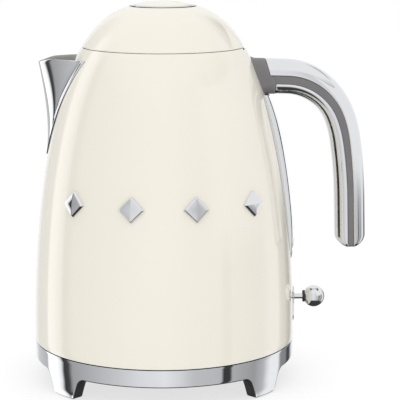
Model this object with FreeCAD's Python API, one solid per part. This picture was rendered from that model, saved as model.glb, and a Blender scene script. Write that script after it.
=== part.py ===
"""Cordless electric kettle: a domed enamel jug on a chrome power base.

Millimetres, +Z up. The jug is a body of revolution about the line X = AXIS_X, Y = 0. The spout
points to -X and the handle to +X. Every shape is made about the jug's own axis and is moved by
AXIS_X when it is written, so that the origin is at the middle of the footprint, on the table.
"""

import FreeCAD
import Part
import math
import os

V = FreeCAD.Vector
X_AXIS = V(1, 0, 0)
Y_AXIS = V(0, 1, 0)
Z_AXIS = V(0, 0, 1)

# Overall sizes
BODY_R = 85.5           # largest radius of the jug and of the base
DOME_FOOT_Z = 30.0      # the dome's outline is vertical below this height
DOME_TOP_Z = 246.5      # height where the outline would close on the axis
DOME_POWER = 2.92       # superellipse power of the outline
WALL = 1.0              # enamelled steel wall
HANDLE_REACH = 132.9    # from the jug's axis to the outside of the handle
AXIS_X = -(HANDLE_REACH - BODY_R) / 2

# Heights
BAND_BOTTOM_Z = 14.8    # lower edge of the chrome band between the feet
BAND_TOP_Z = 26.2
JUG_BOTTOM_Z = 26.7     # the jug rests on the base here
SHELL_BOTTOM_Z = 26.9
FLOOR_Z = 66.0          # underside of the water vessel's floor
SHELL_TOP_Z = 218.3
LID_BOTTOM_Z = 218.8
BUTTON_RING_Z = 244.9
BUTTON_TOP_Z = 248.0

# Lid and its hinge, latch and button
COLLAR_R = 49.4
LINER_R = 47.2
SEAL_R = 48.8
HINGE_X = 49.0
HINGE_Z = 219.0
KNUCKLE_R = 2.2
HINGE_HALF = 7.7        # half of the barrel's length
BUTTON_R = 18.4
BUTTON_TRAVEL = 3.0
LATCH_Z = 214.5
BUTTON_STEM_R = 4.0
STEM_TIP_R = 2.4
STEM_LOW_Z = 216.0      # the stem's bevel meets the latch bolt's slanted window here
SPRING_SEAT_Z = 236.9

# Feet: a centre angle from the X axis, and half widths in degrees at the band and at the ground
FOOT_ANGLE = 40.3
FOOT_TOP_HALF = 10.2
FOOT_GROUND_HALF = 6.4
FOOT_INNER_R = 76.8
PAD_PLACE_R = 79.8
PAD_R = 2.3
PAD_DEPTH = 2.9
PAD_PROUD = 0.6

# Handle: half width, half thickness of the grey core, and the middle line's bends
HANDLE_HALF_W = 12.0
CORE_HALF = 2.7
GRIP_INWARD = 10.1
GRIP_OUTWARD_TOP = 12.9
GRIP_OUTWARD_LEG = 10.3
HANDLE_START = (58.0, 197.9, -1.5)
HANDLE_RUNS = ((22.0, 0.0), (45.1, 68.0), (15.7, 12.0), (38.4, 7.0), (32.0, 0.0))
OUTER_SHELL_S = 9.5     # the two chrome shells start here, beyond the grey root
INNER_SHELL_S = 14.5
SHELL_GAP = 0.05
HANDLE_SCREW_Z = (191.5, 200.0)
HANDLE_SCREW_R = 2.0
HANDLE_SCREW_HEAD_R = 3.6

# Spout
SPOUT_LOW_Z = 149.0
SPOUT_RIM_Z = 209.0
SPOUT_HALF_W = 23.6
SPOUT_BORDER_HALF_W = 27.0
SPOUT_RIM_RISE = 2.4    # the pouring edge climbs this far from its tip to the jug
SPOUT_WALL = 1.2
SPOUT_FLANGE_T = 0.8    # the border stands this proud of the jug

# Water gauge, from its foot to its top, as height and reach from the axis
GAUGE_CREST = ((79.8, 83.7), (97.0, 85.1), (120.0, 83.6), (146.5, 80.0), (173.0, 74.1), (187.3, 68.6))
GAUGE_HALF_W = 8.5
GAUGE_SLOT_HALF_W = 5.0

# Start lever and its rocker
LEVER_Z = 52.0
LEVER_PIVOT_X = 48.0
ROCKER_PIVOT_X = 28.0
LEVER_BALL_X = 40.0
STEM_R = 1.8
KNOB_X = 99.4
KNOB_R = 7.2
PIVOT_R = 1.5
PIVOT_HOLE_R = 1.55

STEAM_TUBE_XY = (41.0, 36.0)    # carries steam from above the water down to the bimetal disc
STEAM_TUBE_R = 3.2

# Coupler, all round the jug's axis
TOWER_R = 17.6
TOWER_BORE_R = 15.6
TOWER_TOP_Z = 38.0
PLUG_R = 15.2
POST_R = 4.0
PIN_R = 2.0
CONTACT_RINGS = (6.9, 11.6)
SOCKET_TOP_Z = 47.5

# Cord inlet at the back of the base
INLET_Z = 20.5
INLET_R = 3.6
INLET_OUTER_R = 5.2
INLET_BACK_Y = 85.3
INLET_FRONT_Y = 79.0

STUD_ANGLES = (-134.3, -104.5, -75.5, -45.7)
STUD_Z = 125.5
STUD_HALF = 8.5

nodes = {}


def outline_r(z):
    """Radius of the jug's outside at height z."""
    t = min(max((z - DOME_FOOT_Z) / (DOME_TOP_Z - DOME_FOOT_Z), 0.0), 1.0)
    return BODY_R * (1.0 - t * t) ** (1.0 / DOME_POWER)


def outline_point(z, inset):
    """A point of the outline in the XZ plane, moved inwards by inset along its normal."""
    step = 0.01
    slope = (outline_r(z + step) - outline_r(z - step)) / (2 * step)
    length = math.hypot(1.0, slope)
    return V(outline_r(z) - inset / length, 0, z + inset * slope / length)


def outline_edge(low, high, inset, count=12):
    """A smooth edge along the outline between two heights, denser towards the top."""
    heights = [low + (high - low) * math.sin(math.pi / 2 * i / count) for i in range(count + 1)]
    curve = Part.BSplineCurve()
    curve.interpolate([outline_point(z, inset) for z in heights])
    return curve.toShape()


def spun(edges):
    """A full turn about the axis of the face inside a closed chain of edges."""
    wire = Part.Wire(Part.__sortEdges__(edges))
    return Part.Face(wire).revolve(V(0, 0, 0), Z_AXIS, 360)


def line(a, b):
    return Part.LineSegment(a, b).toShape()


def ring(*points):
    """A turned piece, from a closed polygon of (radius, height) points."""
    corners = [V(r, 0, z) for r, z in points]
    return Part.Face(Part.makePolygon(corners + corners[:1])).revolve(V(0, 0, 0), Z_AXIS, 360)


def tube(outer, inner, low, high):
    return ring((inner, low), (outer, low), (outer, high), (inner, high))


def box(x0, x1, y0, y1, z0, z1):
    return Part.makeBox(x1 - x0, y1 - y0, z1 - z0, V(x0, y0, z0))


def rod(radius, start, end):
    direction = end - start
    return Part.makeCylinder(radius, direction.Length, start, direction)


def turned(shape, degrees):
    """The shape turned about the jug's axis."""
    copy = shape.copy()
    copy.rotate(V(0, 0, 0), Z_AXIS, degrees)
    return copy


def domed_skin(low, high, inset, wall):
    """A shell of revolution that follows the outline."""
    outside = outline_edge(low, high, inset)
    inside = outline_edge(low, high, inset + wall)
    ends = [(outside.valueAt(p), inside.valueAt(q)) for p, q in (
        (outside.FirstParameter, inside.FirstParameter),
        (outside.LastParameter, inside.LastParameter))]
    return spun([outside, inside] + [line(a, b) for a, b in ends])


def dome(inset, low=20.0, high=244.0):
    """The solid inside the outline, for cutting away what lies within the jug."""
    side = outline_edge(low, high, inset)
    foot = side.valueAt(side.FirstParameter)
    head = side.valueAt(side.LastParameter)
    return spun([side, line(V(0, 0, foot.z), foot), line(head, V(0, 0, head.z)),
                 line(V(0, 0, foot.z), V(0, 0, head.z))])


def coil(radius, wire_r, pitch, turns, base):
    """A compression spring about +Z."""
    helix = Part.makeHelix(pitch, pitch * turns, radius)
    section = Part.Wire(Part.makeCircle(wire_r, V(radius, 0, 0), Y_AXIS))
    spring = Part.Wire(helix).makePipeShell([section], True, True)
    spring.translate(base)
    return spring


# ---------------------------------------------------------------- power base

def arch(centre, top_half, ground_half):
    """The gap between two feet, with radial sides that lean and round into the band."""
    corner = 5.0
    wires = []
    for radius in (40.0, 95.0):
        scale = radius / BODY_R
        top = BODY_R * math.tan(math.radians(top_half)) * scale
        ground = BODY_R * math.tan(math.radians(ground_half)) * scale
        lean = (ground - top) / BAND_BOTTOM_Z
        shoulder = top + lean * corner
        left = [V(radius, -ground, -1), V(radius, -shoulder, BAND_BOTTOM_Z - corner)]
        left += [V(radius, -top - 0.22 * lean * corner, BAND_BOTTOM_Z - 0.32 * corner)]
        left += [V(radius, -top + corner * scale, BAND_BOTTOM_Z)]
        right = [V(p.x, -p.y, p.z) for p in left]
        wires.append(Part.Wire([
            line(right[0], left[0]), line(left[0], left[1]),
            Part.Arc(left[1], left[2], left[3]).toShape(), line(left[3], right[3]),
            Part.Arc(right[3], right[2], right[1]).toShape(), line(right[1], right[0])]))
    return turned(Part.makeLoft(wires, True, True), centre)


def foot_places(radius):
    for side in (0, 180):
        for sign in (-1, 1):
            angle = math.radians(side + sign * FOOT_ANGLE)
            yield V(radius * math.cos(angle), radius * math.sin(angle), 0)


def base_skirt():
    wall = 3.0
    skirt = ring((BODY_R, BAND_TOP_Z - 0.4), (BODY_R, BAND_BOTTOM_Z), (85.2, 9.0), (84.9, 3.4),
                 (84.4, 1.6), (83.2, PAD_PROUD), (FOOT_INNER_R, PAD_PROUD), (FOOT_INNER_R, 12.0),
                 (BODY_R - wall, 12.0), (BODY_R - wall, BAND_TOP_Z), (BODY_R - 0.4, BAND_TOP_Z))
    side_gap = FOOT_ANGLE
    front_gap = 90.0 - FOOT_ANGLE
    for centre, gap in ((0, side_gap), (90, front_gap), (180, side_gap), (270, front_gap)):
        skirt = skirt.cut(arch(centre, gap - FOOT_TOP_HALF, gap - FOOT_GROUND_HALF))
    for place in foot_places(PAD_PLACE_R):
        skirt = skirt.cut(Part.makeCylinder(PAD_R, PAD_DEPTH, place))
    inlet = rod(INLET_OUTER_R, V(0, 70, INLET_Z), V(0, 95, INLET_Z))
    return skirt.cut(inlet)


def make_power_base():
    plate_r = 82.2
    plate_low, plate_high = 22.5, 24.5
    screw_places = [V(x, y, 0) for x in (-35.4, 35.4) for y in (-35.4, 35.4)]
    nodes["base_skirt"] = base_skirt()

    plate = ring((21.2, plate_low), (plate_r, plate_low), (plate_r, 25.8), (79.5, 25.8),
                 (79.0, plate_high), (64.0, plate_high), (64.0, JUG_BOTTOM_Z),
                 (58.0, JUG_BOTTOM_Z), (58.0, plate_high), (21.2, plate_high))
    cover = Part.makeCylinder(plate_r, 2.2, V(0, 0, 12.2))
    screws = []
    for place in screw_places:
        boss = Part.makeCylinder(4.0, plate_low - 14.4, V(place.x, place.y, 14.4))
        hole = Part.makeCylinder(1.5, 10.0, V(place.x, place.y, 12.2))
        plate = plate.fuse(boss).cut(hole)
        cover = cover.cut(hole)
        head = Part.makeCylinder(3.0, 1.8, V(place.x, place.y, 10.4))
        recess = box(-2.2, 2.2, -0.4, 0.4, 10.0, 11.3)
        recess.translate(V(place.x, place.y, 0))
        shank = Part.makeCylinder(1.5, 8.0, V(place.x, place.y, 12.2))
        screws.append(head.fuse(shank).cut(recess))
    plate = plate.cut(rod(INLET_OUTER_R + 0.2, V(0, 76, INLET_Z), V(0, 95, INLET_Z)))
    nodes["base_top_plate"] = plate
    for slot in range(-3, 4):
        cover = cover.cut(box(-3, 3, slot * 6 - 1.2 - 55, slot * 6 + 1.2 - 55, 12, 15))
    nodes["base_bottom_cover"] = cover
    nodes["base_screws"] = Part.makeCompound(screws)
    pads = [Part.makeCylinder(PAD_R, PAD_DEPTH, place) for place in foot_places(PAD_PLACE_R)]
    nodes["foot_pads"] = Part.makeCompound([pad.makeFillet(0.5, [pad.Edges[2]]) for pad in pads])

    housing = Part.makeCylinder(21.0, 6.0, V(0, 0, 18.0))
    housing = housing.fuse(tube(TOWER_R, TOWER_BORE_R, 24.0, TOWER_TOP_Z))
    housing = housing.fuse(Part.makeCylinder(POST_R, 19.0, V(0, 0, 24.0)))
    housing = housing.cut(Part.makeCylinder(PIN_R, 40.0, V(0, 0, 20.0)))
    contacts = [tube(r + 0.3, r - 0.3, 21.0, 33.0) for r in CONTACT_RINGS]
    for contact in contacts:
        housing = housing.cut(contact)
    nodes["coupler_housing"] = housing
    nodes["coupler_ring_contacts"] = Part.makeCompound(contacts)
    pin = Part.makeCylinder(PIN_R, 25.0, V(0, 0, 20.0))
    nodes["coupler_centre_pin"] = pin.makeChamfer(0.8, [pin.Edges[0]])

    block = box(-9, 9, 40, 50, 14.4, 20.4)
    for x in (-5.0, 0.0, 5.0):
        block = block.cut(Part.makeCylinder(1.6, 4.0, V(x, 45, 16.9)))
        block = block.cut(rod(1.1, V(x, 45, 16.4), V(x, 52, 16.4)))
    nodes["terminal_block"] = block
    gland = rod(INLET_OUTER_R, V(0, INLET_FRONT_Y, INLET_Z), V(0, INLET_BACK_Y, INLET_Z))
    nodes["cord_inlet_gland"] = gland.cut(rod(INLET_R, V(0, 70, INLET_Z), V(0, 95, INLET_Z)))


def make_coupler_socket():
    socket = ring((POST_R + 0.4, 25.5), (PLUG_R, 25.5), (PLUG_R, 44.5), (19.0, 44.5), (19.0, 31.0),
                  (22.0, 31.0), (22.0, SOCKET_TOP_Z), (3.4, SOCKET_TOP_Z), (3.4, 43.6),
                  (POST_R + 0.4, 43.6))
    washers = []
    for r in CONTACT_RINGS:
        socket = socket.cut(tube(r + 0.7, r - 0.7, 20.0, 34.5))
        washers.append(tube(r + 0.7, r - 0.7, 33.7, 34.5))
    nodes["coupler_socket"] = socket
    nodes["socket_contacts"] = Part.makeCompound(washers + [tube(3.4, 2.15, 43.6, 46.5)])


# ---------------------------------------------------------------- spout

def spout_share(z):
    return max(z - SPOUT_LOW_Z + 0.6, 0.01) / (SPOUT_RIM_Z - SPOUT_LOW_Z + 0.6)


def spout_half_width(z):
    """Half width of the beak where it meets the jug."""
    return SPOUT_HALF_W * spout_share(z) ** 0.85


def border_half_width(z):
    """Half width of the flat border that lies on the jug round the beak."""
    return SPOUT_BORDER_HALF_W * spout_share(z) ** 0.82


def spout_nose_x(z):
    """The ridge of the beak: nearly upright at its foot, sweeping out to the tip."""
    share = (z - SPOUT_LOW_Z) / (SPOUT_RIM_Z - SPOUT_LOW_Z)
    return -76.2 + 1.6 * math.sin(math.pi * share) * (1 - share) - 4.6 * share ** 2.6


def spout_section(z, inset):
    """A closed wire at height z: two flanks that bend in to a narrow nose."""
    half = spout_half_width(z) - inset
    tip = spout_nose_x(z) + inset
    root = -math.sqrt(outline_r(z) ** 2 - spout_half_width(z) ** 2)
    back = root + 14.0
    edges = []
    for side in (1, -1):
        flank = Part.BezierCurve()
        poles = [V(tip + (root - tip) * along, side * half * out, z)
                 for along, out in ((1.0, 1.0), (0.45, 0.78), (0.02, 0.2), (0.0, 0.0))]
        flank.setPoles(poles if side == 1 else poles[::-1])
        edges.append(flank.toShape())
    return Part.Wire([
        line(V(back, -half, z), V(back, half, z)), line(V(back, half, z), V(root, half, z)),
        *edges, line(V(root, -half, z), V(back, -half, z))])


def spout_solid(inset, low, high):
    heights = [low + (high - low) * share for share in (0, 0.08, 0.2, 0.4, 0.6, 0.8, 1.0)]
    return Part.makeLoft([spout_section(z, inset) for z in heights], True, False)


def border_prism():
    """A prism along X with the outline of the spout's border."""
    sides = []
    for share in (1.0, 0.75, 0.5, 0.28, 0.1, 0.03):
        z = SPOUT_LOW_Z + (SPOUT_RIM_Z + SPOUT_RIM_RISE - SPOUT_LOW_Z) * share
        sides.append((border_half_width(z), z))
    points = [V(-120, -half, z) for half, z in sides] + [V(-120, 0, SPOUT_LOW_Z - 0.6)]
    points += [V(-120, half, z) for half, z in reversed(sides)]
    curve = Part.BSplineCurve()
    curve.interpolate(points)
    face = Part.Face(Part.Wire([curve.toShape(), line(points[-1], points[0])]))
    return face.extrude(V(90, 0, 0))


def make_spout():
    beak = spout_solid(0.0, SPOUT_LOW_Z + 0.6, SPOUT_RIM_Z + SPOUT_RIM_RISE)
    hollow = spout_solid(SPOUT_WALL, SPOUT_LOW_Z + 5.0, SPOUT_RIM_Z + 4.0)
    skin = domed_skin(SPOUT_LOW_Z - 8.0, SPOUT_RIM_Z + 4.0, -SPOUT_FLANGE_T, SPOUT_FLANGE_T + 3.0)
    border = skin.common(border_prism())
    above = Part.Face(Part.makePolygon([V(x, -40, z) for x, z in (
        (-95, SPOUT_RIM_Z - 2.2), (-81, SPOUT_RIM_Z), (-70, SPOUT_RIM_Z + SPOUT_RIM_RISE),
        (-30, SPOUT_RIM_Z + SPOUT_RIM_RISE), (-30, 230), (-95, 230), (-95, SPOUT_RIM_Z - 2.2))]))
    spout = beak.fuse(border).cut(hollow).cut(above.extrude(V(0, 80, 0)))
    return spout.cut(dome(0.0))


def make_filter():
    x0, x1 = -56.0, -53.4
    low, high, half = 162.0, 203.0, 16.5
    frame = box(x0, x1, -half, half, low, high)
    frame = frame.cut(box(x0 - 1, x1 + 1, -half + 3, half - 3, low + 3, high - 3))
    for z in (low + 14, low + 26):
        frame = frame.fuse(box(x0, x1, -half + 3, half - 3, z, z + 1.6))
    lip = box(x1, x1 + 4, -6, 6, high - 1.6, high)
    nodes["filter_frame"] = frame.fuse(lip).removeSplitter()
    mesh = box(x0 + 1.0, x0 + 1.5, -half + 3, half - 3, low + 3, high - 3)
    for z in (low + 14, low + 26):
        mesh = mesh.cut(box(x0 - 1, x1 + 1, -half, half, z, z + 1.6))
    holes = []
    for column in range(-4, 5):
        for row in range(12):
            z = low + 4.6 + row * 2.9
            holes.append(box(x0, x1, column * 2.9 - 0.9, column * 2.9 + 0.9, z, z + 1.8))
    nodes["filter_mesh"] = mesh.cut(Part.makeCompound(holes))


# ---------------------------------------------------------------- handle

def grip_station(s):
    """Place and heading in degrees at the distance s along the handle's middle line."""
    x, z, heading = HANDLE_START
    for length, turn in HANDLE_RUNS:
        run = min(s, length)
        bend = turn * run / length
        middle = math.radians(heading - bend / 2)
        chord = run if not bend else run * math.sin(math.radians(bend / 2)) / math.radians(bend / 2)
        x += chord * math.cos(middle)
        z += chord * math.sin(middle)
        heading -= bend
        s -= run
        if s <= 0:
            break
    return x, z, heading


def grip_outward(s):
    share = min(max((s - 20.0) / 45.0, 0.0), 1.0)
    ease = share * share * (3 - 2 * share)
    return GRIP_OUTWARD_TOP + (GRIP_OUTWARD_LEG - GRIP_OUTWARD_TOP) * ease


GRIP_LENGTH = sum(length for length, _ in HANDLE_RUNS)


def grip_loft(section, start, end, count):
    """Lofts section(s), a wire drawn in (outward, Y), along the middle line."""
    wires = []
    for i in range(count + 1):
        s = start + (end - start) * i / count
        x, z, heading = grip_station(s)
        wire = section(s)
        placement = FreeCAD.Placement(V(x, 0, z), FreeCAD.Rotation(Y_AXIS, -heading))
        wire.Placement = placement
        wires.append(wire)
    return Part.makeLoft(wires, True, False)


def d_section(sign, crest, half_w=HANDLE_HALF_W, flat=CORE_HALF):
    """A half ellipse from the flat side out to the crest, in the plane across the handle."""
    tip = V(0, 0, sign * crest)
    quarter = math.sqrt(0.5)
    shoulder = sign * (flat + (crest - flat) * quarter)
    curve = Part.BSplineCurve()
    curve.interpolate([V(0, -half_w, sign * flat), V(0, -half_w * quarter, shoulder), tip,
                       V(0, half_w * quarter, shoulder), V(0, half_w, sign * flat)],
                      InitialTangent=V(0, 0, sign), FinalTangent=V(0, 0, -sign))
    return Part.Wire([curve.toShape(), line(V(0, half_w, sign * flat), V(0, -half_w, sign * flat))])


def core_section(half_w, half_t):
    return Part.makePolygon([V(0, -half_w, -half_t), V(0, half_w, -half_t), V(0, half_w, half_t),
                             V(0, -half_w, half_t), V(0, -half_w, -half_t)])


def foot_rounder():
    """The rounded lower end of the grip, as the space that it keeps."""
    x, z, heading = grip_station(GRIP_LENGTH)
    r = 7.5
    low, high = x - GRIP_INWARD, x + GRIP_OUTWARD_LEG
    keep = box(low, high, -HANDLE_HALF_W, HANDLE_HALF_W, z - 0.2, z + 40)
    vertical_ends = [e for e in keep.Edges if e.BoundBox.ZMax < z and e.BoundBox.XLength < 0.1]
    keep = keep.makeFillet(r, vertical_ends)
    wide = box(-10, 200, -60, 60, z + 16, 260)
    return keep.fuse(wide)


def make_handle():
    rounder = foot_rounder()
    end = GRIP_LENGTH
    outer = grip_loft(lambda s: d_section(1, grip_outward(s)), OUTER_SHELL_S, end, 28)
    inner = grip_loft(lambda s: d_section(-1, GRIP_INWARD), INNER_SHELL_S, end, 28)
    stripe = grip_loft(lambda s: core_section(HANDLE_HALF_W - 0.4, CORE_HALF - SHELL_GAP),
                       -8, end, 32)
    root_up = grip_loft(lambda s: d_section(1, GRIP_OUTWARD_TOP, flat=CORE_HALF - 2 * SHELL_GAP),
                        -8.0, OUTER_SHELL_S - SHELL_GAP, 2)
    root_down = grip_loft(lambda s: d_section(-1, GRIP_INWARD, flat=CORE_HALF - 2 * SHELL_GAP),
                          -8.0, INNER_SHELL_S - SHELL_GAP, 2)
    core = stripe.fuse([root_up, root_down]).cut(dome(0.0))
    bracket = box(50, 66, -9, 9, 187, 203.6).common(domed_skin(184, 208, WALL, 1.6))
    screws = []
    for z in HANDLE_SCREW_Z:
        tip = outline_r(z) + 5.0
        core = core.cut(rod(HANDLE_SCREW_R + SHELL_GAP, V(40, 0, z), V(tip, 0, z)))
        bracket = bracket.cut(rod(HANDLE_SCREW_R + SHELL_GAP, V(40, 0, z), V(80, 0, z)))
        seat = outline_r(z) - WALL - 1.6
        bracket = bracket.cut(rod(HANDLE_SCREW_HEAD_R + SHELL_GAP, V(40, 0, z), V(seat, 0, z)))
        shank = rod(HANDLE_SCREW_R, V(seat, 0, z), V(tip, 0, z))
        head = rod(HANDLE_SCREW_HEAD_R, V(seat - 2.0, 0, z), V(seat, 0, z))
        screws.append(shank.fuse(head))
    nodes["handle_core"] = core.common(rounder)
    nodes["handle_outer_shell"] = outer.common(rounder)
    nodes["handle_inner_shell"] = inner.common(rounder)
    nodes["handle_bracket"] = bracket
    nodes["handle_screws"] = Part.makeCompound(screws)


# ---------------------------------------------------------------- water gauge

def gauge_layer(inner_share, outer_share, half_w):
    """A strip on the jug's +X side between two shares of the gauge's height off the wall."""
    edges = []
    for share in (inner_share, outer_share):
        points = []
        for z, reach in GAUGE_CREST:
            wall = outline_r(z) - 0.6
            points.append(V(wall + (reach - wall) * share, 0, z))
        curve = Part.BSplineCurve()
        curve.interpolate(points)
        edges.append(curve.toShape())
    ends = [line(edges[0].valueAt(a), edges[1].valueAt(b)) for a, b in (
        (edges[0].FirstParameter, edges[1].FirstParameter),
        (edges[0].LastParameter, edges[1].LastParameter))]
    face = Part.Face(Part.Wire(Part.__sortEdges__(edges + ends)))
    face.translate(V(0, -half_w, 0))
    return face.extrude(V(0, 2 * half_w, 0))


def make_gauge():
    low, high = GAUGE_CREST[0][0] + 6, GAUGE_CREST[-1][0] - 6
    slot = box(50, 100, -GAUGE_SLOT_HALF_W, GAUGE_SLOT_HALF_W, low, high)
    outside = dome(0.0)
    bezel = gauge_layer(-0.5, 0.6, GAUGE_HALF_W).cut(outside).cut(slot)
    gasket = gauge_layer(0.6, 0.7, GAUGE_HALF_W - 0.5).cut(outside).cut(slot)
    lens = gauge_layer(0.7, 1.0, GAUGE_HALF_W)
    plug = gauge_layer(-1.5, 0.7, GAUGE_SLOT_HALF_W)
    plug = plug.common(slot).cut(dome(WALL + 0.4))
    nodes["gauge_bezel"] = bezel
    nodes["gauge_gasket"] = gasket
    nodes["gauge_window"] = lens.fuse(plug).cut(outside.cut(slot))
    return slot


# ---------------------------------------------------------------- jug

def vessel_wall(gauge_slot):
    shell = domed_skin(SHELL_BOTTOM_Z, SHELL_TOP_Z, 0.0, WALL)
    shell = shell.cut(gauge_slot)
    shell = shell.cut(box(80, 90, -2.6, 2.6, 41.0, 55.0))
    shell = shell.cut(box(40, 60, -20, 20, 216.6, 220))
    pour = spout_solid(4.0, SPOUT_LOW_Z + 22.0, SPOUT_RIM_Z - 4.0)
    shell = shell.cut(pour)
    for z in HANDLE_SCREW_Z:
        shell = shell.cut(rod(HANDLE_SCREW_R + SHELL_GAP, V(40, 0, z), V(80, 0, z)))
    return shell


def make_collar():
    low, high = 205.0, 218.0
    outside = outline_edge(low, high, WALL)
    foot, head = outside.valueAt(outside.FirstParameter), outside.valueAt(outside.LastParameter)
    collar = spun([outside, line(foot, V(COLLAR_R, 0, foot.z)), line(head, V(COLLAR_R, 0, head.z)),
                   line(V(COLLAR_R, 0, foot.z), V(COLLAR_R, 0, head.z))])
    collar = collar.cut(box(40, 60, -20, 20, 215.8, 220))
    collar = collar.cut(box(49.0, 51.4, -HINGE_HALF - 0.1, HINGE_HALF + 0.1, 208.8, 220))
    collar = collar.cut(box(-52.2, -45, -7.4, 7.4, 210.5, 220))
    nodes["collar_ring"] = collar
    bracket = box(49.6, 51.2, -HINGE_HALF, HINGE_HALF, 209, 214.5)
    for y in (-HINGE_HALF, HINGE_HALF - 2.4):
        ear = rod(KNUCKLE_R, V(HINGE_X, y, HINGE_Z), V(HINGE_X, y + 2.4, HINGE_Z))
        bracket = bracket.fuse([ear, box(49.6, 51.2, y, y + 2.4, 213, HINGE_Z)])
    pin_ends = V(HINGE_X, -HINGE_HALF, HINGE_Z), V(HINGE_X, HINGE_HALF, HINGE_Z)
    nodes["hinge_bracket"] = bracket.cut(rod(PIVOT_R, *pin_ends)).removeSplitter()
    nodes["hinge_pin"] = rod(PIVOT_R, *pin_ends)


def make_heater():
    floor_r = outline_point(FLOOR_Z + 4.5, WALL).x - 0.1
    floor = ring((0, FLOOR_Z), (floor_r, FLOOR_Z), (floor_r, FLOOR_Z + 4), (floor_r - 1.2, FLOOR_Z + 4),
                 (floor_r - 1.2, FLOOR_Z + 1.2), (0, FLOOR_Z + 1.2))
    posts, screws = [], []
    for angle in (90, 210, 330):
        x, y = 72 * math.cos(math.radians(angle)), 72 * math.sin(math.radians(angle))
        post = Part.makeCylinder(3.5, FLOOR_Z - 29.0, V(x, y, 29.0))
        posts.append(post.cut(Part.makeCylinder(1.5, 12, V(x, y, 29.0))))
        screws.append(Part.makeCylinder(3.0, 1.4, V(x, y, 26.9)).fuse(
            Part.makeCylinder(1.5, 12.7, V(x, y, 28.3))))
    steam_hole = Part.makeCylinder(STEAM_TUBE_R, 40, V(*STEAM_TUBE_XY, 40))
    nodes["vessel_floor"] = floor.fuse(posts).cut(steam_hole)
    nodes["floor_seal"] = tube(floor_r, floor_r - 3.0, FLOOR_Z - 2.2, FLOOR_Z)
    spreader_low = FLOOR_Z - 3.0
    nodes["heat_spreader"] = Part.makeCylinder(61.0, 3.0, V(0, 0, spreader_low)).cut(steam_hole)
    tube_r, loop_r = 3.6, 46.5
    section = Part.Face(Part.Wire(Part.makeCircle(tube_r, V(loop_r, 0, spreader_low - tube_r), Y_AXIS)))
    loop = turned(section.revolve(V(0, 0, 0), Z_AXIS, 324), 198)
    ends = []
    for angle in (198.5, 161.5):
        x, y = loop_r * math.cos(math.radians(angle)), loop_r * math.sin(math.radians(angle))
        ends.append(Part.makeCylinder(2.2, 12, V(x, y, spreader_low - tube_r - 12)))
    nodes["heating_element"] = loop.fuse(ends)
    nodes["steam_tube"] = tube(STEAM_TUBE_R, STEAM_TUBE_R - 1.0, 50.0, 203.0)
    nodes["steam_tube"].translate(V(*STEAM_TUBE_XY, 0))

    cover = ring((23.5, JUG_BOTTOM_Z), (84.2, JUG_BOTTOM_Z), (84.2, 29.0), (25.5, 29.0),
                 (25.5, 34.0), (23.5, 34.0))
    for angle in (90, 210, 330):
        x, y = 72 * math.cos(math.radians(angle)), 72 * math.sin(math.radians(angle))
        cover = cover.cut(Part.makeCylinder(3.0, 1.6, V(x, y, JUG_BOTTOM_Z)))
        cover = cover.cut(Part.makeCylinder(1.5, 4.0, V(x, y, JUG_BOTTOM_Z)))
    nodes["jug_bottom_cover"] = cover
    nodes["bottom_cover_screws"] = Part.makeCompound(screws)

    control = Part.makeCylinder(24.0, 14.2, V(0, 0, 48.0)).fuse(box(15, 51.6, -7, 7, 48.0, 55.6))
    control = control.cut(box(22, 52, -3.2, 3.2, 45, 60))
    pins = []
    for x in (LEVER_PIVOT_X, ROCKER_PIVOT_X):
        pin = rod(PIVOT_R, V(x, -7, LEVER_Z), V(x, 7, LEVER_Z))
        control = control.cut(pin)
        pins.append(pin)
    nodes["control_unit"] = control
    nodes["control_pivot_pins"] = Part.makeCompound(pins)
    disc = ring((0, 62.3), (9.5, 62.2), (9.5, 62.6), (0, 62.9))
    nodes["bimetal_disc"] = disc


def stud():
    """One plain four-sided badge stud, on the +X side of the jug at the badge's height."""
    reach = outline_r(STUD_Z)
    lean = math.degrees(math.atan2(outline_r(STUD_Z - 5) - outline_r(STUD_Z + 5), 10))
    outline = [V(0, STUD_HALF, 0), V(0, 0, STUD_HALF), V(0, -STUD_HALF, 0), V(0, 0, -STUD_HALF)]
    base = Part.makePolygon(outline + outline[:1])
    ridge = Part.makePolygon([p * 0.45 + V(2.6, 0, 0) for p in outline + outline[:1]])
    foot = Part.makePolygon([p + V(-3.0, 0, 0) for p in outline + outline[:1]])
    shape = Part.makeLoft([base, ridge], True, True).fuse(Part.makeLoft([foot, base], True, True))
    shape.rotate(V(0, 0, 0), Y_AXIS, -lean)
    shape.translate(V(reach, 0, STUD_Z))
    return shape.cut(dome(0.0))


def make_jug():
    slot = make_gauge()
    make_collar()
    make_heater()
    make_handle()
    nodes["body_shell"] = vessel_wall(slot)
    nodes["spout"] = make_spout()
    nodes["badge_studs"] = Part.makeCompound([turned(stud(), a) for a in STUD_ANGLES])
    plate = tube(BODY_R + 0.7, BODY_R - 0.4, 35.4, 59.4).common(box(80, 90, -5.5, 5.5, 30, 70))
    plate = plate.cut(dome(0.0)).cut(box(80, 90, -2.6, 2.6, 41.0, 55.0))
    nodes["lever_slot_plate"] = plate


# ---------------------------------------------------------------- lid, button and latch

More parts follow.
